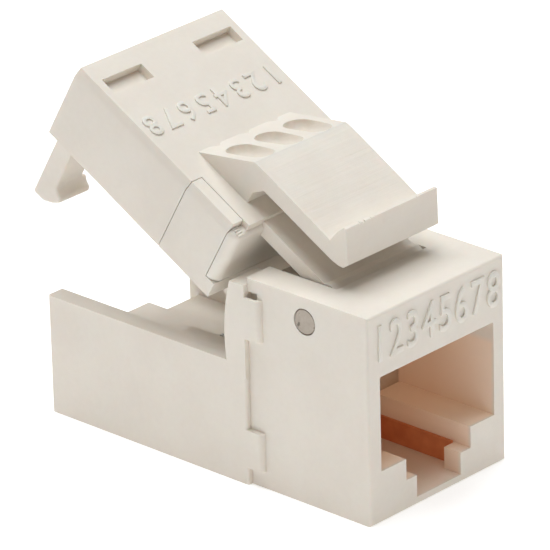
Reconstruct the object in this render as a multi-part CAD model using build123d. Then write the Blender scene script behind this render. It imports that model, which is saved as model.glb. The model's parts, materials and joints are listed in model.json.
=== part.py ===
"""Hinged, tool-less keystone jack: housing with a modular port, wiring lid on a pin, sprung panel latch.

Millimetres. +Z is up, +X is to the right seen from the port, +Y points away from the port.
The origin is the centre of the underside. Depths are distances behind the port's front face.
The lid is drawn shut and then turned open about its pin, which is the rest pose.
"""
import os
from math import cos, radians, sin

from build123d import *

# ---- driving dimensions -------------------------------------------------------------------------
FRONT_WIDTH = 14.5          # keystone opening: 14.5 mm wide and 16.0 mm high
FRONT_HEIGHT = 16.0
BODY_WIDTH = 15.3           # the part that stays behind the wall plate
BODY_LENGTH = 30.85
RIM_HEIGHT = 9.3            # top of the tray's side walls
FLOOR_TOP = 5.1
FLOOR_THICKNESS = 0.95
WALL = 1.5
EDGE_ROUND = 0.22

PORT_WIDTH = 12.1           # modular plug, eight positions
PORT_TOP = 11.2
PORT_LEDGE = 3.95
PORT_DEPTH = 9.0
PORT_CORNER = 0.12
TAB_WIDTH = 6.9             # channel for the plug's release tab
TAB_BOTTOM = 0.6
LUG_GAP = 4.7               # the tab's catch: two short lugs with this gap
LUG_TOP = 2.3
LUG_DEPTH = 1.55
LINER_TOP = 2.4
LINER_THICKNESS = 0.17

SHOULDER_DEPTH = 11.3       # where the wide part starts
STOP_DEPTH = 9.9            # front faces of the panel stops
STOP_ROUND = 0.38
STOP_HEIGHTS = ((1.35, 4.3), (11.4, 14.6))
STOP_POCKET = (6.9, 7.42, 10.35, 11.28, 13.9, 15.0)  # mould core above each upper stop
CHEEK_REAR = 13.25          # rearmost point of the housing's rounded side cheeks
CHEEK_TOP = 15.55
CHEEK_RADIUS = 15.0
CHEEK_CENTRE_Z = 11.3
THICK_WALL_END = 19.0       # the tray's walls are thicker as far as this
THICK_WALL_INNER = 4.95
DECK_REAR = 13.2            # deck between the cheeks, under the lid's arm
DECK_THICKNESS = 1.2
CHAMBER_DEPTH = 9.65        # front of the chamber behind the port
CHAMBER_HALF = 6.05
TONGUE_HALF = 2.8           # middle of the tray's floor, which runs on between the catches
RECESS_TOP = 29.0           # the floor is cut back under each catch, with a slanting edge
RECESS_BOTTOM = 28.5
POCKET = (6.0, 7.2, 29.3, 1.5, 7.6)  # hollow for each catch in the side walls: x, x, depth, z, z

PIN_DEPTH = 5.9
PIN_Z = 14.13
PIN_RADIUS = 1.0
PIN_SUNK = 0.03             # the pin's ends lie just below the cheeks
PIN_CHAMFER = 0.1
PIN_BORE_CLEARANCE = 0.05
BARREL_RADIUS = 1.95
SLOT_RADIUS = 2.05
SLOT_HALF = 4.75
ARM_HALF = 4.65
ARM_BOTTOM = 14.45
ARM_TOP = 15.6

LID_HALF = 7.65
LID_TOP = 15.9
LID_BOTTOM = 9.37
LID_REAR = 30.93
LID_FRONT = 13.42
LID_WALL = 1.25
ROOF = 1.2
SIDE_CHAMFER = (0.3, 0.75)  # across and down, along the lid's upper side edges
REAR_WALL = 1.55
LID_OPEN_ANGLE = 29.5
SIDE_SEAM = 18.8            # joint between cover and wire comb, seen from the side
FRONT_SEAM = 14.3
CHEEK_THICKNESS = 1.3
COMB_GAP = 0.06             # moulding gap at each seam
COMB_BAR_BOTTOM = 8.0       # the comb reaches down between the thick walls, onto the blades
COMB_BAR_HALF = 4.75
COMB_BAR_REAR = 18.6
COMB_BAR_TOP = 12.6
COMB_SLOT_TOP = 10.8
BULKHEAD_BOTTOM = 10.75
BULKHEAD_TOP = 15.4
BULKHEAD_ROUND = 1.05
WINDOW = (2.66, 6.68, 27.87, 29.32)  # blind pockets in the lid's top: x, x, depth, depth
WINDOW_DEPTH = 0.7
WINDOW_PAD = 0.9            # thickness of the roof under each pocket's floor
BLADE_POCKET = (0.85, 0.55)  # in the comb, before and behind each row of blades
CONDUCTOR_HALF = 0.38
CABLE_RADIUS = 3.1
CABLE_Z = 8.4

LATCH_HALF = 4.8
LATCH_AXIS = (15.0, 18.52)
LATCH_ROOT_RADIUS = 0.67
LATCH_TOP = 19.2
LATCH_UNDERSIDE = 17.85
LIP = ((8.4, LATCH_TOP), (8.1, 20.2), (7.8, 20.9), (7.55, 20.9), (6.15, 18.6), (6.35, 18.1), (6.85, 17.95),
       (7.6, LATCH_UNDERSIDE))  # upturned lip, from the tongue's top round to its underside
THROAT = ((14.6, 17.4), (14.45, 17.15), (15.6, 16.75))  # underside of the latch where it meets the lid
RUNNING_GAP = 0.06
RAMP_TIP = (20.8, 15.9)     # rear end of the latch's ramp, where it meets the lid's top
RAMP_RIDGE = (16.35, 19.15)
SCOOP_PLACES = (-3.0, 0.0, 3.0)
SCOOP_RADIUS = 1.1          # finger grooves along the ramp
SCOOP_ENDS = ((2.5, 0.0), (4.4, 0.45))  # centres of a scoop's round ends: along the ramp from its tip, and off it
NOTCH_WIDTH = 1.3           # small notches in the ramp's thin rear edge
NOTCH_REACH = 0.42

CATCH_INNER = 3.3
CATCH_OUTER = 6.05
CATCH_AXIS = (30.2, 9.3)
CATCH_RADIUS = 0.83
CATCH_LENGTH_END = 3.2      # the leg's lower end
TOE = ((29.9, 2.35), (29.1, 2.85), (28.55, 3.4), (28.65, 3.8), (29.1, 4.0))  # hooked toe, from below round to its top
TOE_TOP = 4.4
TOE_WIDER = 0.45            # the toe is wider than the leg on its inner side

BOARD_TOP = 3.3
BOARD_THICKNESS = 0.8
CONTACT_COUNT = 8
PLUG_PITCH = 1.02
PLUG_WIRE = 0.36
PLUG_WIRE_THICKNESS = 0.3
PLUG_WIRE_TOP = 10.95
PLUG_WIRE_END = (8.2, 8.6)
WIRE_PITCH = 1.1
BLADE_ROWS = (17.3, 14.9)
BLADE_WIDTH = 1.5
BLADE_THICKNESS = 0.4
BLADE_TOP = 8.6
BLADE_SLOT = 0.3
BLADE_SLOT_DEPTH = 2.0
BLOCK_HALF = 4.85
BLOCK_DEPTHS = (13.6, 18.5)
BLOCK_TOP = 7.5
BLOCK_GROOVE = 0.7
SLIDE_GAP = 0.03
ASSEMBLY_GAP = 0.05         # clearance between parts that are pressed together
CARRIER_BOTTOM = 3.4        # the carrier closes the port's back down to just above the board
CARRIER_COMB = (4.6, 1.2, 9.0)  # comb between the spring wires: half width, reach into the port, lower edge
WIRE_SLOT_BOTTOM = 7.6
WIRE_FRONT = 2.2            # depth of the spring wires' bend
WIRE_REAR = 9.7
WIRE_BEND = 0.85            # height of the bend
BASE_REAR = 27.0
BASE_THICKNESS = 1.0
BASE_CORNER = 0.4
BOARD_HALF = 4.8
BLADE_CORNER = 0.3
BEYOND = 1                  # a cut runs on this far past the face it opens
NUMERAL_HEIGHT = 2.3
NUMERAL_WIDTH = 1.15
NUMERAL_STROKE = 0.3
NUMERAL_RELIEF = 0.2
NUMERAL_BASE = 12.6
NUMERAL_PITCH = 1.68


# ---- helpers ------------------------------------------------------------------------------------
def behind(depth):
    """Y of a plane this far behind the front face."""
    return depth - BODY_LENGTH / 2


def slab(x_low, x_high, depth_low, depth_high, z_low, z_high):
    """Box between two widths, two depths and two heights."""
    size = Box(x_high - x_low, depth_high - depth_low, z_high - z_low)
    return Pos((x_low + x_high) / 2, behind((depth_low + depth_high) / 2), (z_low + z_high) / 2) * size


def across(half, depth_low, depth_high, z_low, z_high):
    """Box that is symmetric about the middle plane."""
    return slab(-half, half, depth_low, depth_high, z_low, z_high)


def side_profile(points, x_low, x_high):
    """Side outline of (depth, height) points, extruded along X."""
    outline = Polyline([(x_low, behind(depth), z) for depth, z in points], close=True)
    return extrude(make_face(outline), amount=x_high - x_low, dir=(1, 0, 0))


def cross_bar(depth, z, radius, x_low, x_high):
    """Cylinder along X."""
    bar = Rot(0, 90, 0) * Cylinder(radius, x_high - x_low)
    return Pos((x_low + x_high) / 2, behind(depth), z) * bar


def both_sides(piece):
    """A piece and its mirror image."""
    return piece + mirror(piece, about=Plane.YZ)


def swing_open(piece):
    """Turn a piece of the lid from shut to its rest pose about the pin."""
    axis = Axis((0, behind(PIN_DEPTH), PIN_Z), (1, 0, 0))
    return piece.rotate(axis, LID_OPEN_ANGLE)


# ---- housing ------------------------------------------------------------------------------------
def cheek_outline():
    """Rounded rear end of the high side walls: an arc that bulges to the rear."""
    low = RIM_HEIGHT - 1
    centre = CHEEK_REAR - CHEEK_RADIUS
    top_depth = centre + (CHEEK_RADIUS**2 - (CHEEK_TOP - CHEEK_CENTRE_Z) ** 2) ** 0.5
    low_depth = centre + (CHEEK_RADIUS**2 - (low - CHEEK_CENTRE_Z) ** 2) ** 0.5
    x = -BODY_WIDTH / 2
    points = {
        "low": (x, behind(low_depth), low),
        "bulge": (x, behind(CHEEK_REAR), CHEEK_CENTRE_Z),
        "top": (x, behind(top_depth), CHEEK_TOP),
        "top_front": (x, behind(SHOULDER_DEPTH), CHEEK_TOP),
        "low_front": (x, behind(SHOULDER_DEPTH), low),
    }
    arc = ThreePointArc(points["low"], points["bulge"], points["top"])
    rest = Polyline(points["top"], points["top_front"], points["low_front"], points["low"])
    return extrude(make_face(arc + rest), amount=BODY_WIDTH, dir=(1, 0, 0))


def housing_shell():
    """Outer shape of the housing before its hollows are cut."""
    half = BODY_WIDTH / 2
    front = across(FRONT_WIDTH / 2, 0, SHOULDER_DEPTH + 0.1, 0, FRONT_HEIGHT)
    front = fillet(front.edges().filter_by(Axis.Z) + front.faces().sort_by(Axis.Y)[0].edges().filter_by(Axis.X),
                   EDGE_ROUND)
    tray = across(half, SHOULDER_DEPTH, BODY_LENGTH, 0, RIM_HEIGHT)
    tray = fillet(tray.edges().filter_by(Axis.Z), EDGE_ROUND)
    shell = front + tray + cheek_outline()
    for z_low, z_high in STOP_HEIGHTS:
        stop = across(half, STOP_DEPTH, SHOULDER_DEPTH + 0.5, z_low, z_high)
        stop = fillet(stop.faces().sort_by(Axis.Y)[0].edges().filter_by(Axis.Z), STOP_ROUND)
        shell += stop
    return shell


def port_hollow():
    """Plug opening, the release tab's channel and the gap between its lugs."""
    plug = across(PORT_WIDTH / 2, -1, PORT_DEPTH, PORT_LEDGE, PORT_TOP)
    plug = fillet(plug.edges().filter_by(Axis.Y).sort_by(Axis.Z)[-2:], PORT_CORNER)
    channel = across(TAB_WIDTH / 2, LUG_DEPTH, PORT_DEPTH, TAB_BOTTOM, PORT_LEDGE + 0.5)
    above_lugs = across(TAB_WIDTH / 2, -1, LUG_DEPTH + 0.5, LUG_TOP, PORT_LEDGE + 0.5)
    between_lugs = across(LUG_GAP / 2, -1, LUG_DEPTH + 0.5, TAB_BOTTOM, PORT_LEDGE)
    return plug + channel + above_lugs + between_lugs


def housing_hollows():
    """Everything that is empty inside the housing."""
    inner = BODY_WIDTH / 2 - WALL
    deck_top = ARM_BOTTOM - 0.15
    deck_bottom = deck_top - DECK_THICKNESS
    tray = across(inner, THICK_WALL_END, BODY_LENGTH + 1, FLOOR_TOP, FRONT_HEIGHT + 1)
    tray += across(THICK_WALL_INNER, DECK_REAR - DECK_THICKNESS, THICK_WALL_END + 0.5, FLOOR_TOP, RIM_HEIGHT)
    tray += across(THICK_WALL_INNER, DECK_REAR, THICK_WALL_END + 0.5, FLOOR_TOP, FRONT_HEIGHT)
    tray += across(THICK_WALL_INNER, CHAMBER_DEPTH, DECK_REAR - DECK_THICKNESS, FLOOR_TOP, deck_bottom)
    tray += across(inner, DECK_REAR, CHEEK_REAR + 1, RIM_HEIGHT - 0.2, FRONT_HEIGHT + 1)
    under = across(inner, CHAMBER_DEPTH, BODY_LENGTH + 1, -1, FLOOR_TOP - FLOOR_THICKNESS)
    board_room = across(THICK_WALL_INNER, PORT_DEPTH + 0.8, THICK_WALL_END - 0.3, -1, FLOOR_TOP + 0.1)
    insert_room = across(CHAMBER_HALF, PORT_DEPTH - 0.01, CHAMBER_DEPTH + 0.6, TAB_BOTTOM, PORT_TOP)
    barrel = cross_bar(PIN_DEPTH, PIN_Z, SLOT_RADIUS, -SLOT_HALF, SLOT_HALF)
    edge_depth = PIN_DEPTH - (SLOT_RADIUS**2 - (FRONT_HEIGHT - PIN_Z) ** 2) ** 0.5
    arm = across(SLOT_HALF, edge_depth, CHEEK_REAR + 1, deck_top, FRONT_HEIGHT + 1)
    pin = cross_bar(PIN_DEPTH, PIN_Z, PIN_RADIUS + 0.01, -FRONT_WIDTH, FRONT_WIDTH)
    return tray + under + board_room + insert_room + barrel + arm + pin


def jack_housing():
    """Port block and wiring tray in one moulding."""
    body = housing_shell() - port_hollow() - housing_hollows()
    above, below = FLOOR_TOP + 0.1, FLOOR_TOP - FLOOR_THICKNESS - 0.25
    recess = side_profile(((RECESS_TOP, above), (BODY_LENGTH + 1, above), (BODY_LENGTH + 1, below),
                           (RECESS_BOTTOM, below)), TONGUE_HALF, BODY_WIDTH / 2 - WALL)
    inner, outer, front, low, high = POCKET
    pocket = slab(inner, outer, front, BODY_LENGTH + 1, low, high)
    return body - both_sides(recess) - both_sides(pocket) - both_sides(slab(*STOP_POCKET))


def contact_carrier():
    """Insert behind the port that holds the eight spring wires between the teeth of a comb."""
    half, reach, low = CARRIER_COMB
    back = across(CHAMBER_HALF - ASSEMBLY_GAP, PORT_DEPTH + ASSEMBLY_GAP, CHAMBER_DEPTH + 0.5,
                  CARRIER_BOTTOM, PORT_TOP - 2 * ASSEMBLY_GAP)
    comb = across(half, PORT_DEPTH - reach, PORT_DEPTH + 2 * ASSEMBLY_GAP, low, PORT_TOP - 3 * ASSEMBLY_GAP)
    carrier = back + comb
    for index in range(CONTACT_COUNT):
        x = plug_x(index)
        half = PLUG_WIRE / 2 + ASSEMBLY_GAP
        carrier -= slab(x - half, x + half, PORT_DEPTH - reach - BEYOND, PORT_DEPTH + 0.9, WIRE_SLOT_BOTTOM,
                        PORT_TOP + BEYOND)
    return carrier


def tab_channel_liner():
    """Coloured clip in the tab channel behind its lugs: a strip on each side, joined by a bridge at the back."""
    outer_half = TAB_WIDTH / 2 - SLIDE_GAP
    rear = PORT_DEPTH - ASSEMBLY_GAP
    outer = across(outer_half, LUG_DEPTH + 0.1, rear, TAB_BOTTOM + SLIDE_GAP, LINER_TOP)
    between = across(outer_half - LINER_THICKNESS, 0, rear - LINER_THICKNESS, TAB_BOTTOM - 1, LINER_TOP + 1)
    return outer - between


def plug_x(index):
    """Place of a spring wire across the port."""
    return (index - (CONTACT_COUNT - 1) / 2) * PLUG_PITCH


def wire_x(index):
    """Place of a conductor across the wire comb."""
    return (index - (CONTACT_COUNT - 1) / 2) * WIRE_PITCH


def plug_contact(index):
    """Spring wire: along the port's ceiling, round a bend and back down to the carrier."""
    x = plug_x(index)
    half = PLUG_WIRE / 2
    thick = PLUG_WIRE_THICKNESS
    upper = PLUG_WIRE_TOP
    end_depth, end_z = PLUG_WIRE_END
    front = WIRE_FRONT
    lower = upper - WIRE_BEND
    outline = ((WIRE_REAR, upper), (front + 0.4, upper), (front, upper - 0.25), (front, lower + 0.25),
               (front + 0.3, lower), (end_depth, end_z), (end_depth, end_z + thick), (front + 0.5, lower + thick),
               (front + 0.35, upper - 0.5), (front + 0.55, upper - thick), (WIRE_REAR, upper - thick))
    return side_profile(outline, x - half, x + half)


def circuit_board():
    """Board that joins the spring wires to the insulation-displacement blades."""
    return across(BOARD_HALF, PORT_DEPTH + 0.9, THICK_WALL_END - 0.7, BOARD_TOP - BOARD_THICKNESS, BOARD_TOP)


def base_cover():
    """Plate that closes the underside below the board."""
    half = BODY_WIDTH / 2 - WALL - ASSEMBLY_GAP
    plate = across(half, CHAMBER_DEPTH + 2 * ASSEMBLY_GAP, BASE_REAR, 0, BASE_THICKNESS)
    return fillet(plate.edges().filter_by(Axis.Z), BASE_CORNER)


def idc_block():
    """Block that carries the blades in two staggered rows, with a rib between neighbouring blades."""
    front, rear = BLOCK_DEPTHS
    block = across(BLOCK_HALF, front, rear, BOARD_TOP + 0.02, BLOCK_TOP)
    for index in range(CONTACT_COUNT):
        x = wire_x(index)
        row = BLADE_ROWS[index % 2]
        half = BLADE_WIDTH / 2 + SLIDE_GAP
        reach = BLADE_THICKNESS / 2 + SLIDE_GAP
        block -= slab(x - half, x + half, row - reach, row + reach, 0, BLADE_TOP)
        block -= slab(x - BLOCK_GROOVE / 2, x + BLOCK_GROOVE / 2, front - 1, rear + 1, BLOCK_TOP - 0.8, BLADE_TOP)
    return block


def idc_contact(index):
    """Slotted blade that cuts through a conductor's insulation."""
    x = wire_x(index)
    row = BLADE_ROWS[index % 2]
    half = BLADE_WIDTH / 2
    blade = slab(x - half, x + half, row - BLADE_THICKNESS / 2, row + BLADE_THICKNESS / 2, BOARD_TOP, BLADE_TOP)
    blade = chamfer(blade.edges().filter_by(Axis.Y).sort_by(Axis.Z)[-2:], BLADE_CORNER)
    slot = slab(x - BLADE_SLOT / 2, x + BLADE_SLOT / 2, row - 1, row + 1, BLADE_TOP - BLADE_SLOT_DEPTH, BLADE_TOP + 1)
    return blade - slot


def hinge_pin():
    """Plain pin through both cheeks of the housing and the lid's barrel."""
    pin = cross_bar(PIN_DEPTH, PIN_Z, PIN_RADIUS, -FRONT_WIDTH / 2 + PIN_SUNK, FRONT_WIDTH / 2 - PIN_SUNK)
    return chamfer(pin.edges().filter_by(GeomType.CIRCLE), PIN_CHAMFER)


# ---- lid ----------------------------------------------------------------------------------------
def lid_section(depth_low, depth_high, half, z_low):
    """Lid's outer cross section with its steep side chamfers, extruded between two depths."""
    y = behind(depth_low)
    inset, drop = SIDE_CHAMFER
    outline = Polyline([(-half, y, z_low), (half, y, z_low), (half, y, LID_TOP - drop), (half - inset, y, LID_TOP),
                        (-half + inset, y, LID_TOP), (-half, y, LID_TOP - drop)], close=True)
    return extrude(make_face(outline), amount=depth_high - depth_low, dir=(0, 1, 0))


def on_ramp(along, lift):
    """(depth, height) of a point over the latch's ramp: this far from its tip, and this far off its surface."""
    run = RAMP_TIP[0] - RAMP_RIDGE[0]
    rise = RAMP_RIDGE[1] - RAMP_TIP[1]
    slope = (run**2 + rise**2) ** 0.5
    depth = RAMP_TIP[0] - along * run / slope + lift * rise / slope
    return depth, RAMP_TIP[1] + along * rise / slope + lift * run / slope


def finger_scoop(x):
    """Round-bottomed groove along the ramp, closed at both ends."""
    ends = [on_ramp(along, lift) for along, lift in SCOOP_ENDS]
    (rear_depth, rear_z), (front_depth, front_z) = ends
    start = Vector(x, behind(rear_depth), rear_z)
    path = Vector(x, behind(front_depth), front_z) - start
    from_start = (Align.CENTER, Align.CENTER, Align.MIN)
    channel = Plane(origin=start, z_dir=path) * Cylinder(SCOOP_RADIUS, path.length, align=from_start)
    balls = [Pos(x, behind(depth), z) * Sphere(SCOOP_RADIUS) for depth, z in ends]
    return channel + balls[0] + balls[1]


def edge_notch(x):
    """Small notch in the ramp's thin rear edge, in line with a scoop."""
    tip = behind(RAMP_TIP[0])
    corners = [(x - NOTCH_WIDTH / 2, tip + 0.05, LID_TOP), (x + NOTCH_WIDTH / 2, tip + 0.05, LID_TOP),
               (x, tip - NOTCH_REACH, LID_TOP)]
    return extrude(make_face(Polyline(corners, close=True)), amount=1, dir=(0, 0, 1))


def latch_root():
    """Wedge on the lid's top that carries the latch, with finger scoops along its ramp."""
    sunk = LID_TOP - 0.3
    neck = LATCH_AXIS[0]
    outline = ((RAMP_TIP[0], sunk), RAMP_TIP, RAMP_RIDGE, (neck + 0.4, LATCH_TOP), (neck, LATCH_TOP),
               (neck, LATCH_UNDERSIDE - 0.1), *THROAT, (THROAT[-1][0], sunk))
    wedge = side_profile(outline, -LATCH_HALF, LATCH_HALF)
    wedge -= cross_bar(*LATCH_AXIS, LATCH_ROOT_RADIUS + RUNNING_GAP, -LATCH_HALF - 1, LATCH_HALF + 1)
    for x in SCOOP_PLACES:
        wedge = wedge - finger_scoop(x) - edge_notch(x)
    return wedge


def lid_cover():
    """Cover: roof, side walls, rear wall with cable arch, front bulkhead, hinge arm, barrel and latch root."""
    roof_half = LID_HALF - CHEEK_THICKNESS - COMB_GAP
    rear_part = lid_section(SIDE_SEAM + COMB_GAP / 2, LID_REAR, LID_HALF, LID_BOTTOM)
    rear_part -= across(LID_HALF - LID_WALL, SIDE_SEAM - 1, LID_REAR - REAR_WALL, LID_BOTTOM - 1, LID_TOP - ROOF)
    roof = across(roof_half, LID_FRONT + 0.3, SIDE_SEAM + 1, LID_TOP - ROOF, LID_TOP)
    bulkhead = across(LID_HALF, LID_FRONT, FRONT_SEAM - COMB_GAP / 2, BULKHEAD_BOTTOM, BULKHEAD_TOP)
    front_edges = bulkhead.faces().sort_by(Axis.Y)[0].edges()
    bulkhead = fillet(front_edges.filter_by(Axis.Z), BULKHEAD_ROUND * 0.75)
    bulkhead = fillet(bulkhead.edges().filter_by(Axis.X).group_by(Axis.Z)[-1].sort_by(Axis.Y)[0], EDGE_ROUND * 2)
    arm = across(ARM_HALF, PIN_DEPTH, FRONT_SEAM, ARM_BOTTOM, ARM_TOP)
    barrel = cross_bar(PIN_DEPTH, PIN_Z, BARREL_RADIUS, -ARM_HALF, ARM_HALF)
    cover = rear_part + roof + bulkhead + arm + barrel + latch_root()
    x_low, x_high, depth_low, depth_high = WINDOW
    floor_z = LID_TOP - WINDOW_DEPTH
    pad = slab(x_low - 0.5, x_high + 0.5, depth_low - 0.5, depth_high + 0.3, floor_z - WINDOW_PAD, LID_TOP - ROOF / 2)
    cover += both_sides(pad)
    window = slab(*WINDOW, floor_z, LID_TOP + BEYOND)
    arch = Pos(0, behind(LID_REAR), CABLE_Z) * Rot(90, 0, 0) * Cylinder(CABLE_RADIUS, 6)
    pin_bore = cross_bar(PIN_DEPTH, PIN_Z, PIN_RADIUS + PIN_BORE_CLEARANCE, -LID_HALF, LID_HALF)
    cover = cover - both_sides(window) - arch - pin_bore
    groove = cross_bar(*CATCH_AXIS, CATCH_RADIUS + RUNNING_GAP, CATCH_INNER - 0.08, CATCH_OUTER + 0.08)
    return cover - both_sides(groove)


def wire_comb():
    """Comb that lines up the conductors under the lid and pushes them onto the blades."""
    inner = LID_HALF - CHEEK_THICKNESS
    cheeks = lid_section(FRONT_SEAM + COMB_GAP / 2, SIDE_SEAM - COMB_GAP / 2, LID_HALF, LID_BOTTOM)
    cheeks -= across(inner, FRONT_SEAM - 1, SIDE_SEAM + 1, LID_BOTTOM - 1, LID_TOP + 1)
    sill = across(LID_HALF, LID_FRONT, FRONT_SEAM + 0.5, LID_BOTTOM, BULKHEAD_BOTTOM - COMB_GAP)
    bar = across(inner + 0.2, FRONT_SEAM + COMB_GAP, COMB_BAR_REAR, LID_BOTTOM + 0.1, COMB_BAR_TOP)
    foot = across(COMB_BAR_HALF, LID_FRONT + 0.15, COMB_BAR_REAR - 0.2, COMB_BAR_BOTTOM, LID_BOTTOM + 0.2)
    comb = cheeks + sill + bar + foot
    before, after = BLADE_POCKET
    for row in BLADE_ROWS:
        comb -= across(COMB_BAR_HALF, row - before, row + after, COMB_BAR_BOTTOM - BEYOND, COMB_SLOT_TOP - 0.6)
    for index in range(CONTACT_COUNT):
        left, right = wire_x(index) - CONDUCTOR_HALF, wire_x(index) + CONDUCTOR_HALF
        comb -= slab(left, right, FRONT_SEAM + 0.6, SIDE_SEAM + BEYOND, COMB_BAR_BOTTOM - BEYOND, COMB_SLOT_TOP)
    return comb


def latch_tongue():
    """Springy tongue that snaps behind the wall plate, with an upturned lip to press."""
    outline = ((LATCH_AXIS[0], LATCH_TOP - 0.01), *LIP, (LATCH_AXIS[0], LATCH_UNDERSIDE))
    plate = side_profile(outline, -LATCH_HALF, LATCH_HALF)
    return plate + cross_bar(*LATCH_AXIS, LATCH_ROOT_RADIUS, -LATCH_HALF, LATCH_HALF)


def lid_catch():
    """Springy leg at the lid's rear with a toe that goes under the tray's floor."""
    depth, z = CATCH_AXIS
    front, rear = depth - CATCH_RADIUS, depth + CATCH_RADIUS
    leg = slab(CATCH_INNER, CATCH_OUTER, front, rear, CATCH_LENGTH_END, z)
    leg += cross_bar(depth, z, CATCH_RADIUS, CATCH_INNER, CATCH_OUTER)
    outline = ((rear, CATCH_LENGTH_END + 0.1), (rear, TOE[0][1]), *TOE, (front, TOE_TOP))
    toe = side_profile(outline, CATCH_INNER - TOE_WIDER, CATCH_OUTER)
    return leg + toe


# ---- numerals -----------------------------------------------------------------------------------
SEGMENTS = {1: "bc", 2: "abged", 3: "abgcd", 4: "fgbc", 5: "afgcd", 6: "afgedc", 7: "abc", 8: "abcdefg"}


def numeral_row():
    """Raised contact numbers 1 to 8 above the port, drawn with straight strokes."""
    width, height, stroke = NUMERAL_WIDTH, NUMERAL_HEIGHT, NUMERAL_STROKE
    bars = {
        "a": (0, width, height - stroke, height), "g": (0, width, (height - stroke) / 2, (height + stroke) / 2),
        "d": (0, width, 0, stroke), "f": (0, stroke, height / 2, height), "e": (0, stroke, 0, height / 2),
        "b": (width - stroke, width, height / 2, height), "c": (width - stroke, width, 0, height / 2),
    }
    row = Part()
    for number in range(1, CONTACT_COUNT + 1):
        left = (number - 1 - (CONTACT_COUNT - 1) / 2) * NUMERAL_PITCH - width / 2
        for name in SEGMENTS[number]:
            x_low, x_high, z_low, z_high = bars[name]
            row += slab(left + x_low, left + x_high, -NUMERAL_RELIEF, 0, NUMERAL_BASE + z_low, NUMERAL_BASE + z_high)
    return row


# ---- output -------------------------------------------------------------------------------------
def all_parts():
    """Every node by name, in its rest pose."""
    parts = {
        "jack_housing": jack_housing(),
        "contact_carrier": contact_carrier(),
        "tab_channel_liner": tab_channel_liner(),
        "circuit_board": circuit_board(),
        "base_cover": base_cover(),
        "idc_block": idc_block(),
        "hinge_pin": hinge_pin(),
        "port_numerals": numeral_row(),
        "lid_cover": swing_open(lid_cover()),
        "wire_comb": swing_open(wire_comb()),
        "latch_tongue": swing_open(latch_tongue()),
        "right_lid_catch": swing_open(lid_catch()),
        "left_lid_catch": swing_open(mirror(lid_catch(), about=Plane.YZ)),
    }
    for index in range(CONTACT_COUNT):
        parts[f"plug_contact_{index + 1}"] = plug_contact(index)
        parts[f"idc_contact_{index + 1}"] = idc_contact(index)
    return parts


def on_open_lid(depth, z):
    """Place of a point of the shut lid once the lid is open."""
    angle = radians(LID_OPEN_ANGLE)
    y, up = depth - PIN_DEPTH, z - PIN_Z
    return behind(PIN_DEPTH) + y * cos(angle) - up * sin(angle), PIN_Z + y * sin(angle) + up * cos(angle)


os.makedirs("parts", exist_ok=True)
for node, shape in all_parts().items():
    export_step(shape, f"parts/{node}.step")

print("pin axis", round(behind(PIN_DEPTH), 3), PIN_Z)
print("latch axis", *(round(value, 3) for value in on_open_lid(*LATCH_AXIS)))
print("catch axis", *(round(value, 3) for value in on_open_lid(*CATCH_AXIS)))
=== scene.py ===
# %% [markdown]
# # A hinged, tool-less keystone jack
#
# The object is a small ivory socket for network plugs. A housing holds the port and a wiring
# tray, and a lid turns on a pin above the port. This lesson loads the jack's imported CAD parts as
# a fixed frame and gives them the soft edges, the marks and the finishes of moulded plastic and
# metal. Everything is in metres, with X to the right, Y away from the port and Z up.

import json
from math import pi, radians

import bpy
from mathutils import Matrix, Vector


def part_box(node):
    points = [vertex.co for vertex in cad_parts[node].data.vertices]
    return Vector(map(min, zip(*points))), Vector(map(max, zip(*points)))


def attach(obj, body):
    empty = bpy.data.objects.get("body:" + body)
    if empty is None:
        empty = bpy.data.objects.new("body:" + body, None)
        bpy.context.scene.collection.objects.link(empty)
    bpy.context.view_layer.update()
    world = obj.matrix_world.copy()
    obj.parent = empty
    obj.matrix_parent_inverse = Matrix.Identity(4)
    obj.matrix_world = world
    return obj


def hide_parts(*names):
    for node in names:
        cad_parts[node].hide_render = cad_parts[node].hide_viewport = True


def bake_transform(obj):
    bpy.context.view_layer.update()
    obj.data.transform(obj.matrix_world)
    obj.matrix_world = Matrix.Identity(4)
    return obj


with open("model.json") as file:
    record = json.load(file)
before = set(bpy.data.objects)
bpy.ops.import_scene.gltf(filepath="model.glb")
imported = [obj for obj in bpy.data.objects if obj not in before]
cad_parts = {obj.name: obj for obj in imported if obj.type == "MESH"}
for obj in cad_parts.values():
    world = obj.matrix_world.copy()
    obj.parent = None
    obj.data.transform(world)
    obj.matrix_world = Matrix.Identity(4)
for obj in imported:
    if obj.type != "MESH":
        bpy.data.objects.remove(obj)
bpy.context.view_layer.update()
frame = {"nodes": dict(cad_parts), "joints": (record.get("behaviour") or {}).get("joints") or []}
bpy.ops.object.select_all(action="DESELECT")

# %% Places that everything is measured from
MM = 0.001
FRONT_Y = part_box("jack_housing")[0].y
hinge = next(joint for joint in frame["joints"] if joint["name"] == "lid_hinge")
PIN_PLACE = Vector(hinge["pos_m"])
OPEN_ANGLE = -radians(hinge["range_deg"][0])
print("front face at", round(FRONT_Y / MM, 2), "mm, pin at", tuple(round(v / MM, 2) for v in PIN_PLACE))


def point(x, depth, z):
    """A point in metres from millimetres: across, behind the front face, up."""
    return Vector((x * MM, FRONT_Y + depth * MM, z * MM))


def opening():
    """The turn that carries the shut lid to its open rest pose."""
    turn = Matrix.Rotation(OPEN_ANGLE, 4, "X")
    return Matrix.Translation(PIN_PLACE) @ turn @ Matrix.Translation(-PIN_PLACE)


# %% [markdown]
# ## The camera
#
# A small object is often shown through a long lens, from more than ten times its own length away,
# so that its edges stay nearly parallel. The camera stands to the left of the port, a little
# above it. Its turn is built from three plain rotations: round the object, down towards it, and a
# slight roll.

# %% Set the camera
AZIMUTH = radians(-46.863)
ELEVATION = radians(23.795)
ROLL = radians(-1.535)
DISTANCE = 0.425677
LENS = 393.37
SENSOR_WIDTH = 36
SLIDE = (-11.633, 15.463)

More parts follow.
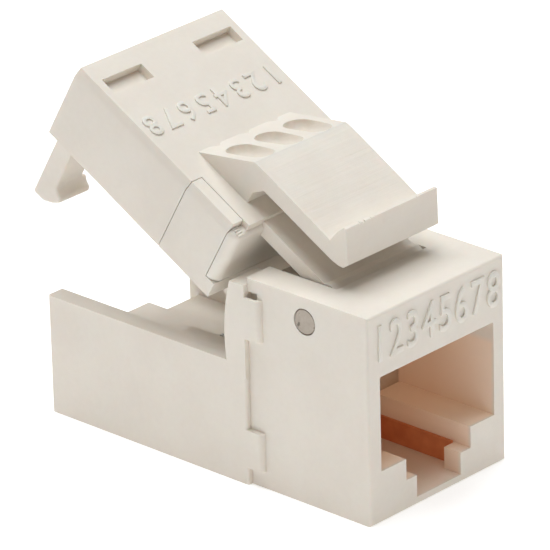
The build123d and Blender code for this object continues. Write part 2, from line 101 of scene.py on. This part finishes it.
round_turn = Matrix.Rotation(AZIMUTH, 4, "Z")
down_turn = Matrix.Rotation(pi / 2 - ELEVATION, 4, "X")
aim_turn = round_turn @ down_turn @ Matrix.Rotation(ROLL, 4, "Z")
aim_point = aim_turn @ Vector((SLIDE[0] * MM, SLIDE[1] * MM, DISTANCE)) + Vector((0, FRONT_Y, 0))
bpy.ops.object.camera_add(location=aim_point, rotation=aim_turn.to_euler())
camera = bpy.context.object
camera.name = "view_camera"
camera.data.lens = LENS
camera.data.sensor_width = SENSOR_WIDTH
camera.data.clip_start = 0.01
camera.data.clip_end = 20
bpy.context.scene.camera = camera
print("camera at", tuple(round(v, 4) for v in camera.location))

# %% [markdown]
# ## Shader maths
#
# A material is a graph of nodes. Writing the graph as Python expressions keeps it readable, so a
# small class wraps a socket and turns plus and times into Math nodes. One method adds any other
# node from its type, its settings and its socket values.

# %% A socket that can be used in expressions
class Signal:
    """A number that changes over a surface."""

    def __init__(self, finish, socket):
        self.finish = finish
        self.socket = socket

    def _math(self, operation, first, second):
        return self.finish.add("ShaderNodeMath", {"operation": operation}, {0: first, 1: second})

    def __add__(self, other):
        return self._math("ADD", self, other)

    def __mul__(self, other):
        return self._math("MULTIPLY", self, other)

    __radd__ = __add__
    __rmul__ = __mul__


class Finish:
    """A material under construction around one Principled shader."""

    def __init__(self, name, **sockets):
        self.material = bpy.data.materials.new(name)
        self.material.use_nodes = True
        self.tree = self.material.node_tree
        self.shader = self.tree.nodes["Principled BSDF"]
        for socket, value in sockets.items():
            self.shader.inputs[socket.replace("_", " ")].default_value = value
        self.place = self.add("ShaderNodeTexCoord", {}, {}, "Object")

    def add(self, kind, settings, values, output=0):
        """Add a node, set it up, feed its sockets and return one output."""
        node = self.tree.nodes.new(kind)
        for name, value in settings.items():
            setattr(node, name, value)
        for socket, value in values.items():
            if isinstance(value, Signal):
                self.tree.links.new(value.socket, node.inputs[socket])
            else:
                node.inputs[socket].default_value = value
        return Signal(self, node.outputs[output])

    def feed(self, socket, signal):
        """Link a varying signal to the shader."""
        self.tree.links.new(signal.socket, self.shader.inputs[socket])

    def noise(self, per_mm, detail=2.0, stretch=(1, 1, 1), turn=0.0):
        """Noise with so many features in a millimetre, stretched along an axis where asked."""
        scaled = self.add("ShaderNodeMapping", {},
                          {"Vector": self.place, "Rotation": (turn, 0, 0), "Scale": stretch})
        return self.add("ShaderNodeTexNoise", {},
                        {"Vector": scaled, "Scale": per_mm / MM, "Detail": detail})

    def level(self, signal, low, high, to_low=0.0, to_high=1.0):
        """Stretch a range of a signal to another range, clamped."""
        return self.add("ShaderNodeMapRange", {"clamp": True},
                        {"Value": signal, "From Min": low, "From Max": high,
                         "To Min": to_low, "To Max": to_high})

    def axis(self, number):
        """One of the three coordinates: 0 across, 1 to the rear, 2 up."""
        return self.add("ShaderNodeSeparateXYZ", {}, {"Vector": self.place}, number)

    def mix(self, factor, first, second):
        """A blend of two colour sockets or colours with an alpha."""
        return self.add("ShaderNodeMix", {"data_type": "RGBA"}, {0: factor, 6: first, 7: second}, 2)

    def tint(self, factor, first, second):
        """A colour between two plain ones."""
        return self.mix(factor, (*first, 1), (*second, 1))

    def relief(self, height, depth_mm):
        """Turn a height signal into small surface relief of a real depth."""
        self.feed("Normal", self.add("ShaderNodeBump", {},
                                     {"Strength": 1.0, "Distance": depth_mm * MM, "Height": height}))


# %% [markdown]
# ## Ivory plastic
#
# The housing and lid are taken to be moulded ABS, from a spark eroded mould that leaves a very
# fine satin grain. The colour drifts slightly where the melt flowed, and a little light soaks in.
# Fine grain goes to the bump, slow drift goes to colour and roughness.
#
# The port's inner walls look warmer and darker towards the back. On the real jack that is light
# that soaks through thin walls and bounces between them. Here it is painted into the colour, placed by
# position: a painted shade that deepens with depth and is darkest low by the tab channel, and a
# trace of painted glow. The plastic is the same.

# %% Where the port's inside is, in millimetres, and the painted shade and glow there
PORT_HALF = 6.1
PORT_TOP = 9.4
PORT_END = 9.2
PORT_SOFT = 0.5
PORT_MOUTH = (0.02, 0.3)
PORT_BASE = (0.4, 0.8)
CHANNEL_HEIGHTS = (1.4, 3.2)
# Painted shade inside the port: the walls darken from the mouth inwards, and most low down by the tab
# channel.
DEEP_FROM_MOUTH = 6.0
SHADE_AT_MOUTH = 0.3
PORT_PAINTED_SHADE = (0.74, 0.54, 0.39)
CHANNEL_PAINTED_SHADE = (0.50, 0.31, 0.19)
# Painted light: a faint glow on the port's walls.
PORT_PAINTED_GLOW = (0.11, 0.064, 0.04)
BLACK = (0, 0, 0)


def inside_port(finish):
    """One on the walls inside the port, fading out at its mouth and its top."""
    sideways = finish.add("ShaderNodeMath", {"operation": "ABSOLUTE"}, {0: finish.axis(0)})
    to_rear = finish.axis(1)
    up = finish.axis(2)
    soft = PORT_SOFT * MM
    port_end = FRONT_Y + PORT_END * MM
    across_port = finish.level(sideways, PORT_HALF * MM, PORT_HALF * MM + soft, 1.0, 0.0)
    behind_mouth = finish.level(to_rear, *(FRONT_Y + edge * MM for edge in PORT_MOUTH))
    before_end = finish.level(to_rear, port_end, port_end + soft, 1.0, 0.0)
    above_base = finish.level(up, *(edge * MM for edge in PORT_BASE))
    under_roof = finish.level(up, PORT_TOP * MM, PORT_TOP * MM + soft, 1.0, 0.0)
    return across_port * behind_mouth * before_end * above_base * under_roof


# %% Ivory plastic
IVORY_DEEP = (0.80, 0.735, 0.65)
IVORY_LIGHT = (0.835, 0.775, 0.69)
SOAKED = {"Subsurface_Weight": 0.18, "Subsurface_Radius": (1.0, 0.55, 0.34), "Subsurface_Scale": 0.8 * MM}
IVORY_GRAIN_DEPTH = 0.0035


def ivory_plastic(name, striated=False):
    """Satin ivory ABS, with fine combed lines on the latch."""
    finish = Finish(name, IOR=1.46, Emission_Strength=1.0, **SOAKED)
    drift = finish.noise(0.22, 3.0)
    mottle = finish.noise(2.4, 3.0)
    colour_mix = finish.level(drift * 0.7 + mottle * 0.3, 0.36, 0.64)
    outside = finish.tint(colour_mix, IVORY_DEEP, IVORY_LIGHT)
    inside = inside_port(finish)
    # Painted shade: the port's walls are tinted darker and warmer with depth, darkest low by the tab
    # channel.
    shade_deepening = finish.level(finish.axis(1), FRONT_Y, FRONT_Y + DEEP_FROM_MOUTH * MM, SHADE_AT_MOUTH, 1.0)
    above_channel = finish.level(finish.axis(2), *(height * MM for height in CHANNEL_HEIGHTS))
    painted_port_shade = finish.tint(above_channel, CHANNEL_PAINTED_SHADE, PORT_PAINTED_SHADE)
    finish.feed("Base Color", finish.mix(inside * shade_deepening, outside, painted_port_shade))
    # Painted light: the port's inner walls glow a little.
    finish.feed("Emission Color", finish.tint(inside, BLACK, PORT_PAINTED_GLOW))
    grain = finish.noise(7.0, 4.0)
    finish.feed("Roughness", finish.level(mottle * 0.5 + grain * 0.5, 0.3, 0.7, 0.40, 0.54))
    height = grain
    if striated:
        combed = finish.noise(1.0, 3.0, stretch=(0.15, 4.2, 4.2), turn=-OPEN_ANGLE)
        height = grain * 0.5 + combed * 7.0
    finish.relief(height, IVORY_GRAIN_DEPTH)
    return finish.material


ivory = ivory_plastic("ivory_abs")
ivory_combed = ivory_plastic("ivory_abs_combed", striated=True)
print("made", ivory.name, ivory_combed.name)

# %% [markdown]
# ## The other finishes
#
# The spring wires are gold plated and the blades are tinned, so both are metals with a fine drawn
# grain. The pin is dull nickel with a few dark specks on its cut ends. The board is green
# laminate, and the clip in the tab channel is a coloured plastic that warms the walls round it.
# The wires, the blades and the board are hidden or nearly so, and their finishes are guesses from
# how such jacks are made. One function makes each kind of finish, and colours and roughness are
# its inputs.

# %% Metals, board and liner
SOLDER_MASK = (0.012, 0.10, 0.035)
SOLDER_MASK_LIGHT = (0.02, 0.16, 0.06)


def drawn_metal(name, colour, dark, roughness, stretch):
    """Plated metal with streaks along one axis and a few dark specks."""
    finish = Finish(name, Metallic=1.0)
    streaks = finish.noise(3.0, 3.0, stretch=stretch)
    spots = finish.level(finish.noise(2.2, 2.0), 0.62, 0.70)
    finish.feed("Base Color", finish.tint(spots * 0.7 + streaks * 0.25, colour, dark))
    finish.feed("Roughness", finish.level(streaks, 0.3, 0.7, roughness - 0.08, roughness + 0.1))
    finish.relief(streaks, 0.002)
    return finish.material


def moulded(name, colour, darker, roughness):
    """A plain moulded plastic with a fine grain."""
    finish = Finish(name, IOR=1.48)
    drift = finish.noise(0.8, 3.0)
    grain = finish.noise(6.0, 3.0)
    finish.feed("Base Color", finish.tint(finish.level(drift, 0.35, 0.65), colour, darker))
    finish.feed("Roughness", finish.level(grain, 0.3, 0.7, roughness - 0.05, roughness + 0.08))
    finish.relief(grain, 0.003)
    return finish.material


def laminate(name):
    """Board laminate with its weave faintly showing through the lacquer."""
    finish = Finish(name, IOR=1.5)
    lengthwise = finish.noise(4.0, 1.0, stretch=(1, 0.2, 1))
    crosswise = finish.noise(4.0, 1.0, stretch=(0.2, 1, 1))
    weave = lengthwise * 0.5 + crosswise * 0.5
    finish.feed("Base Color", finish.tint(finish.level(weave, 0.4, 0.6), SOLDER_MASK, SOLDER_MASK_LIGHT))
    finish.feed("Roughness", finish.level(weave, 0.4, 0.6, 0.28, 0.42))
    finish.relief(weave, 0.004)
    return finish.material


gold = drawn_metal("gold_plate", (0.95, 0.64, 0.25), (0.70, 0.42, 0.13), 0.24, (1, 0.15, 1))
tin = drawn_metal("tin_plate", (0.72, 0.71, 0.68), (0.45, 0.44, 0.42), 0.34, (1, 1, 0.15))
nickel = drawn_metal("nickel_plate", (0.38, 0.33, 0.28), (0.09, 0.08, 0.06), 0.36, (0.3, 1, 1))
liner = moulded("orange_liner", (0.82, 0.29, 0.12), (0.72, 0.23, 0.09), 0.5)
carrier = moulded("carrier_plastic", (0.66, 0.53, 0.41), (0.60, 0.47, 0.35), 0.48)
block_plastic = moulded("blade_block_plastic", (0.70, 0.63, 0.53), (0.62, 0.55, 0.45), 0.48)
board = laminate("board_laminate")
print("materials:", len(bpy.data.materials))

# %% [markdown]
# ## Soft edges on the moulded parts
#
# No mould makes a perfectly sharp corner, and the thin bright lines along an ivory part's edges
# are light caught by a radius of about a tenth of a millimetre. The shapes from the CAD are
# right, so each is copied, its loose triangles are merged into whole faces, and a Bevel modifier
# rounds it.

# %% A copy of a CAD part with rounded edges
MERGE = 0.0002 * MM
FLAT_WITHIN = radians(0.6)
BEVEL_STEPS = 2
SMOOTH_WITHIN = radians(50)
LARGE_FACES_LEAD = 100


def only(piece):
    """Make a piece the one selected, active object."""
    bpy.ops.object.select_all(action="DESELECT")
    piece.select_set(True)
    bpy.context.view_layer.objects.active = piece


def copy_of(node, name):
    """A clean mesh with a CAD node's shape: merged, with its flat faces whole."""
    piece = frame["nodes"][node].copy()
    piece.data = frame["nodes"][node].data.copy()
    for key in list(piece.keys()):
        del piece[key]
    piece.parent = None
    piece.name = name
    bpy.context.collection.objects.link(piece)
    only(piece)
    bpy.ops.object.mode_set(mode="EDIT")
    bpy.ops.mesh.select_all(action="SELECT")
    bpy.ops.mesh.remove_doubles(threshold=MERGE)
    bpy.ops.mesh.dissolve_limited(angle_limit=FLAT_WITHIN)
    bpy.ops.object.mode_set(mode="OBJECT")
    return piece


def round_edges(piece, radius, sharper_than=28):
    """Round every edge that is sharper than the given angle."""
    only(piece)
    bevel = piece.modifiers.new("edge radius", "BEVEL")
    bevel.width = radius * MM
    bevel.segments = BEVEL_STEPS
    bevel.limit_method = "ANGLE"
    bevel.angle_limit = radians(sharper_than)
    bevel.use_clamp_overlap = True
    bpy.ops.object.modifier_apply(modifier=bevel.name)


def finish_piece(piece, body, slot, material, *nodes):
    """Keep flat faces flat, paint a piece, let it ride on its body and stand for its CAD nodes."""
    only(piece)
    bpy.ops.object.shade_smooth_by_angle(angle=SMOOTH_WITHIN)
    flat_faces = piece.modifiers.new("flat faces stay flat", "WEIGHTED_NORMAL")
    flat_faces.keep_sharp = True
    flat_faces.weight = LARGE_FACES_LEAD
    bpy.ops.object.modifier_apply(modifier=flat_faces.name)
    piece.data.materials.clear()
    piece.data.materials.append(material)
    if body:
        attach(piece, body)
    if nodes:
        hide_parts(*nodes)
    print(piece.name, "faces:", len(piece.data.polygons))


# %% The moulded parts: new name, body, edge radius in millimetres, material
MOULDED = {
    "jack_housing": ("housing_moulding", "housing", 0.13, ivory),
    "wire_comb": ("comb_moulding", "lid", 0.09, ivory),
    "left_lid_catch": ("left_catch_moulding", "left_catch", 0.2, ivory),
    "right_lid_catch": ("right_catch_moulding", "right_catch", 0.2, ivory),
    "base_cover": ("base_moulding", "housing", 0.09, ivory),
    "idc_block": ("blade_block_moulding", "housing", 0.05, block_plastic),
    "contact_carrier": ("carrier_moulding", "housing", 0.04, carrier),
}
SLOTS = {"idc_block": "blade_block_plastic", "contact_carrier": "carrier_plastic"}
for node, (name, body, radius, material) in MOULDED.items():
    piece = copy_of(node, name)
    round_edges(piece, radius)
    finish_piece(piece, body, SLOTS.get(node, "ivory_plastic"), material, node)

# %% [markdown]
# ## The latch in one sprung moulding
#
# The latch is a thin tongue that grows out of the wedge on the lid and ends in a lip for the
# finger. On the real lid it is one moulding with the wedge: it has no pin, and it bends where it
# is thinnest. A stiff piece on a joint would tear away from the wedge there. So the front of the
# wedge is cut off the lid, and one piece is drawn from the cut to the lip. It is built
# as a ladder: a plane is one rung to the next, its end edge is extruded rung by rung along the
# side view, and the finished side is extruded across the width. The ladder starts a little behind
# the cut and is cut off there after its edges are rounded, so the two rounded outlines meet at
# the joint.

# %% Cutting helpers
LATCH_HALF = 4.8
CUT_DEPTH = 16.35
LID_RADIUS = 0.09
LID_TOP = 15.9
BESIDE_LATCH = 6


def block(name, low, high):
    """A plain block between two points given in millimetres on the shut lid."""
    corner_a, corner_b = point(*low), point(*high)
    bpy.ops.object.select_all(action="DESELECT")
    middle = (corner_a + corner_b) / 2
    bpy.ops.mesh.primitive_cube_add(size=1, location=middle, scale=corner_b - corner_a)
    cutter = bpy.context.object
    cutter.name = name
    bpy.ops.object.transform_apply(location=True, rotation=True, scale=True)
    return cutter


def swing_open(piece):
    """Carry a piece drawn on the shut lid to its open rest pose."""
    piece.data.transform(opening())
    piece.data.update()


def carve(piece, cutter):
    """Cut one shape out of another and throw the cutter away."""
    only(piece)
    cut = piece.modifiers.new("cut", "BOOLEAN")
    cut.operation = "DIFFERENCE"
    cut.solver = "EXACT"
    cut.object = cutter
    bpy.ops.object.modifier_apply(modifier=cut.name)
    bpy.data.objects.remove(cutter)


# %% The lid without the front of its wedge
lid = copy_of("lid_cover", "lid_moulding")
round_edges(lid, LID_RADIUS)
nose = block("nose", (-BESIDE_LATCH, 5, LID_TOP + 0.002), (BESIDE_LATCH, CUT_DEPTH, 25))
swing_open(nose)
carve(lid, nose)
print("lid faces:", len(lid.data.polygons))

# %% The latch's rungs: (depth, height) of the underside and of the top, on the shut lid
LIP_END = ((6.17, 18.6), (7.58, 20.92))
RUNGS = (((17.2, LID_TOP), (17.2, 18.53)),
         ((CUT_DEPTH, LID_TOP), (CUT_DEPTH, 19.15)),
         ((15.46, LID_TOP), (15.8, 19.19)),
         ((15.44, 16.95), (15.3, 19.2)),
         ((14.7, 17.83), (14.8, 19.2)),
         ((13.9, 17.85), (13.9, 19.19)),
         ((12.5, 17.85), (12.5, 19.18)),
         ((10.0, 17.85), (10.2, 19.14)),
         ((7.6, 17.85), (8.32, 19.1)),
         ((6.85, 17.95), (8.08, 20.2)),
         ((6.4, 18.12), (7.8, 20.85)),
         LIP_END)


# %% The latch as a ladder
SAME_PLACE = 0.01 * MM


def only_edge_at(mesh, ends):
    """Select just the edge whose ends lie at two places."""
    for edge in mesh.edges:
        middle = (mesh.vertices[edge.vertices[0]].co + mesh.vertices[edge.vertices[1]].co) / 2
        edge.select = (middle - (ends[0] + ends[1]) / 2).length < SAME_PLACE
    for part in (*mesh.vertices, *mesh.polygons):
        part.select = False
    for edge in mesh.edges:
        if edge.select:
            for index in edge.vertices:
                mesh.vertices[index].select = True


def ladder(name, rungs, half):
    """A moulding whose side view is a ladder of rungs, as wide as twice the half width."""
    places = [[point(-half, *low), point(-half, *high)] for low, high in rungs]
    bpy.ops.object.select_all(action="DESELECT")
    bpy.ops.mesh.primitive_plane_add(size=2 * MM)
    piece = bpy.context.object
    piece.name = name
    mesh = piece.data
    first = (places[0][0], places[1][0], places[1][1], places[0][1])
    for vertex, index in zip(first, mesh.polygons[0].vertices):
        mesh.vertices[index].co = vertex
    for here, there in zip(places[1:], places[2:]):
        only_edge_at(mesh, here)
        bpy.ops.object.mode_set(mode="EDIT")
        bpy.ops.mesh.select_mode(type="EDGE")
        bpy.ops.mesh.extrude_region_move(TRANSFORM_OT_translate={"value": (0, 0, 0)})
        bpy.ops.object.mode_set(mode="OBJECT")
        for vertex in mesh.vertices:
            if vertex.select:
                end = 0 if (vertex.co - here[0]).length < (vertex.co - here[1]).length else 1
                vertex.co = there[end]
    bpy.ops.object.mode_set(mode="EDIT")
    bpy.ops.mesh.select_mode(type="FACE")
    bpy.ops.mesh.select_all(action="SELECT")
    bpy.ops.mesh.normals_make_consistent(inside=False)
    bpy.ops.mesh.extrude_region_move(TRANSFORM_OT_translate={"value": (2 * half * MM, 0, 0)})
    bpy.ops.mesh.select_all(action="SELECT")
    bpy.ops.mesh.remove_doubles(threshold=MERGE)
    bpy.ops.mesh.normals_make_consistent(inside=False)
    bpy.ops.object.mode_set(mode="OBJECT")
    return piece


latch = ladder("latch_moulding", RUNGS, LATCH_HALF)
print("latch faces:", len(latch.data.polygons))

# %% Nicks along the lip, as on a well used latch: place across, and size
NICKS = ((-3.35, 0.16), (-2.9, 0.22), (-2.2, 0.14), (-1.75, 0.10), (2.6, 0.12))
LIP_TOP = LIP_END[1][1]
NICK_DEPTHS = (7.3, 8.2)
for place, size in NICKS:
    low = (place - size / 2, NICK_DEPTHS[0], LIP_TOP - size / 2)
    high = (place + size / 2, NICK_DEPTHS[1], LIP_TOP + 0.58)
    carve(latch, block("nick", low, high))
print("latch faces with nicks:", len(latch.data.polygons))

# %% Round it, cut it to meet the lid and open it
BEND_FROM = point(0, CUT_DEPTH - 0.1, 18.5)
BEND_TO = point(0, 14.2, 18.5)
round_edges(latch, LID_RADIUS, sharper_than=20)
carve(latch, block("overlap", (-BESIDE_LATCH, CUT_DEPTH, 15), (BESIDE_LATCH, 18, 21)))
swing_open(latch)
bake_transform(latch)
finish_piece(latch, None, "ivory_plastic", ivory_combed, "latch_tongue")

# %% [markdown]
# ## Four small nibs at each end of the bulkhead
#
# On the top of the lid's front wall, close to the seam with the comb, stand four tiny ridges.
# They are probably crush ribs that take up play when the comb is pressed in. Only the left four
# are certain, and the right four mirror them. One ridge is modelled, and the others are copies of
# it.

# %% Nibs on the bulkhead
NIB_PLACE = 7.0
NIB_FRONT = 13.52
NIB_PITCH = 0.216
NIB_HALF = 0.25
NIB_THICKNESS = 0.13
NIB_HEIGHTS = (15.3, 15.5)
NIB_RADIUS = 0.03
first_nib = block("nib", (-NIB_PLACE - NIB_HALF, NIB_FRONT, NIB_HEIGHTS[0]),
                  (-NIB_PLACE + NIB_HALF, NIB_FRONT + NIB_THICKNESS, NIB_HEIGHTS[1]))
round_edges(first_nib, NIB_RADIUS)
nibs = [first_nib]
for place in range(1, 8):
    side, step = divmod(place, 4)
    nib = first_nib.copy()
    nib.data = first_nib.data.copy()
    nib.data.transform(Matrix.Translation((side * 2 * NIB_PLACE * MM, step * NIB_PITCH * MM, 0)))
    bpy.context.collection.objects.link(nib)
    nibs.append(nib)
bpy.ops.object.select_all(action="DESELECT")
for nib in nibs:
    nib.select_set(True)
bpy.context.view_layer.objects.active = nibs[0]
bpy.ops.object.join()
nib_row = bpy.context.object
nib_row.name = "bulkhead_nibs"
swing_open(nib_row)
finish_piece(nib_row, "lid", "ivory_plastic", ivory)

# %% [markdown]
# ## Raised numbers on the lid and the port
#
# The real lid and port carry raised marks. Here they are plain contact numbers instead. Each is
# drawn as text and made into a thin mesh that stands about a tenth of a millimetre proud, so
# light and shade pick out the edges of its strokes. The lid's numbers are read from the rear.

# %% A raised number
CAPITAL_SHARE = 0.7
CURVE_STEPS = 4
STROKE_ROUND = 0.03


def raised_number(name, text, height, relief, width_share):
    """A number as a thin raised mesh, lying flat in X and Y with its front up."""
    bpy.ops.object.select_all(action="DESELECT")
    bpy.ops.object.text_add(location=(0, 0, 0))
    label = bpy.context.object
    label.name = name
    label.data.body = text
    label.data.size = height * MM / CAPITAL_SHARE
    label.data.align_x = "CENTER"
    label.data.resolution_u = CURVE_STEPS
    label.data.extrude = relief * MM / 2
    label.data.bevel_depth = STROKE_ROUND * MM
    label.data.bevel_resolution = 1
    bpy.ops.object.convert(target="MESH")
    label = bpy.context.object
    bpy.ops.object.mode_set(mode="EDIT")
    bpy.ops.mesh.select_all(action="SELECT")
    bpy.ops.mesh.remove_doubles(threshold=MERGE)
    bpy.ops.transform.resize(value=(width_share, 1, 1), center_override=(0, 0, 0))
    bpy.ops.object.mode_set(mode="OBJECT")
    return label


# %% Eight numbers above the port; the first stands for the CAD's row of numerals
NUMBERS = range(1, 9)
MIDDLE = 4.5
PORT_PITCH = 1.72
PORT_BASELINE = 12.45
UPRIGHT = Matrix.Rotation(pi / 2, 4, "X")
for number in NUMBERS:
    digit = raised_number(f"port_number_{number}", str(number), height=2.7, relief=0.12, width_share=0.78)
    place = point((number - MIDDLE) * PORT_PITCH, -0.06, PORT_BASELINE)
    digit.data.transform(Matrix.Translation(place) @ UPRIGHT)
    replaced = ["port_numerals"] if number == 1 else []
    finish_piece(digit, "housing", "ivory_plastic", ivory, *replaced)

# %% Eight numbers across the lid
LID_PITCH = 1.78
LID_BASELINE = 25.08
TURNED = Matrix.Rotation(pi, 4, "Z")
for number in NUMBERS:
    digit = raised_number(f"lid_number_{number}", str(number), height=1.8, relief=0.1, width_share=1.0)
    place = point((MIDDLE - number) * LID_PITCH, LID_BASELINE, LID_TOP + 0.04)
    digit.data.transform(opening() @ Matrix.Translation(place) @ TURNED)
    finish_piece(digit, "lid", "ivory_plastic", ivory)

# %% The lid itself
finish_piece(lid, "lid", "ivory_plastic", ivory, "lid_cover")

# %% Finishes on the parts that keep their CAD shape
KEPT = {"tab_channel_liner": liner, "circuit_board": board, "hinge_pin": nickel}
for number in NUMBERS:
    KEPT[f"plug_contact_{number}"] = gold
    KEPT[f"idc_contact_{number}"] = tin
for node, material in KEPT.items():
    mesh = frame["nodes"][node].data
    mesh.materials.clear()
    mesh.materials.append(material)
print("kept parts painted:", len(KEPT))

# %% [markdown]
# ## Floor and light
#
# The jack stands on a plain white table in soft studio light: a dim warm surround, and one large
# cool panel almost straight above. The table sends light back up onto the sides. It glows a
# little itself, a stand-in for a backdrop lit so strongly that only the faintest shadow shows on
# it.

# %% Floor
TABLE_SIZE = 6.0
TABLE_GLOW = 0.36
bpy.ops.object.select_all(action="DESELECT")
bpy.ops.mesh.primitive_plane_add(size=TABLE_SIZE, location=(0, 0, 0))
floor = bpy.context.object
floor.name = "studio_floor"
paper = Finish("white_paper", Roughness=0.9, Emission_Color=(1, 1, 1, 1), Emission_Strength=TABLE_GLOW)
paper.feed("Base Color", paper.tint(paper.noise(0.02, 2.0), (0.93, 0.93, 0.93), (0.95, 0.95, 0.95)))
floor.data.materials.append(paper.material)
print("table:", TABLE_SIZE, "m wide")

# %% Light
SURROUND_COLOUR = (1.0, 0.94, 0.885, 1)
SURROUND_STRENGTH = 0.24
world = bpy.data.worlds.new("studio")
bpy.context.scene.world = world
world.use_nodes = True
surround = world.node_tree.nodes["Background"]
surround.inputs["Color"].default_value = SURROUND_COLOUR
surround.inputs["Strength"].default_value = SURROUND_STRENGTH


def soft_panel(name, place, size, power, colour):
    """A square panel of light that faces the jack."""
    bpy.ops.object.light_add(type="AREA", location=place)
    panel = bpy.context.object
    panel.name = name
    panel.data.shape = "SQUARE"
    panel.data.size = size
    panel.data.energy = power
    panel.data.color = colour
    panel.rotation_euler = (-Vector(place)).to_track_quat("-Z", "Y").to_euler()


soft_panel("top_panel", place=(0.03, 0.12, 0.9), size=0.75, power=8.8, colour=(0.93, 0.97, 1.0))
bpy.context.scene.view_settings.view_transform = "Standard"
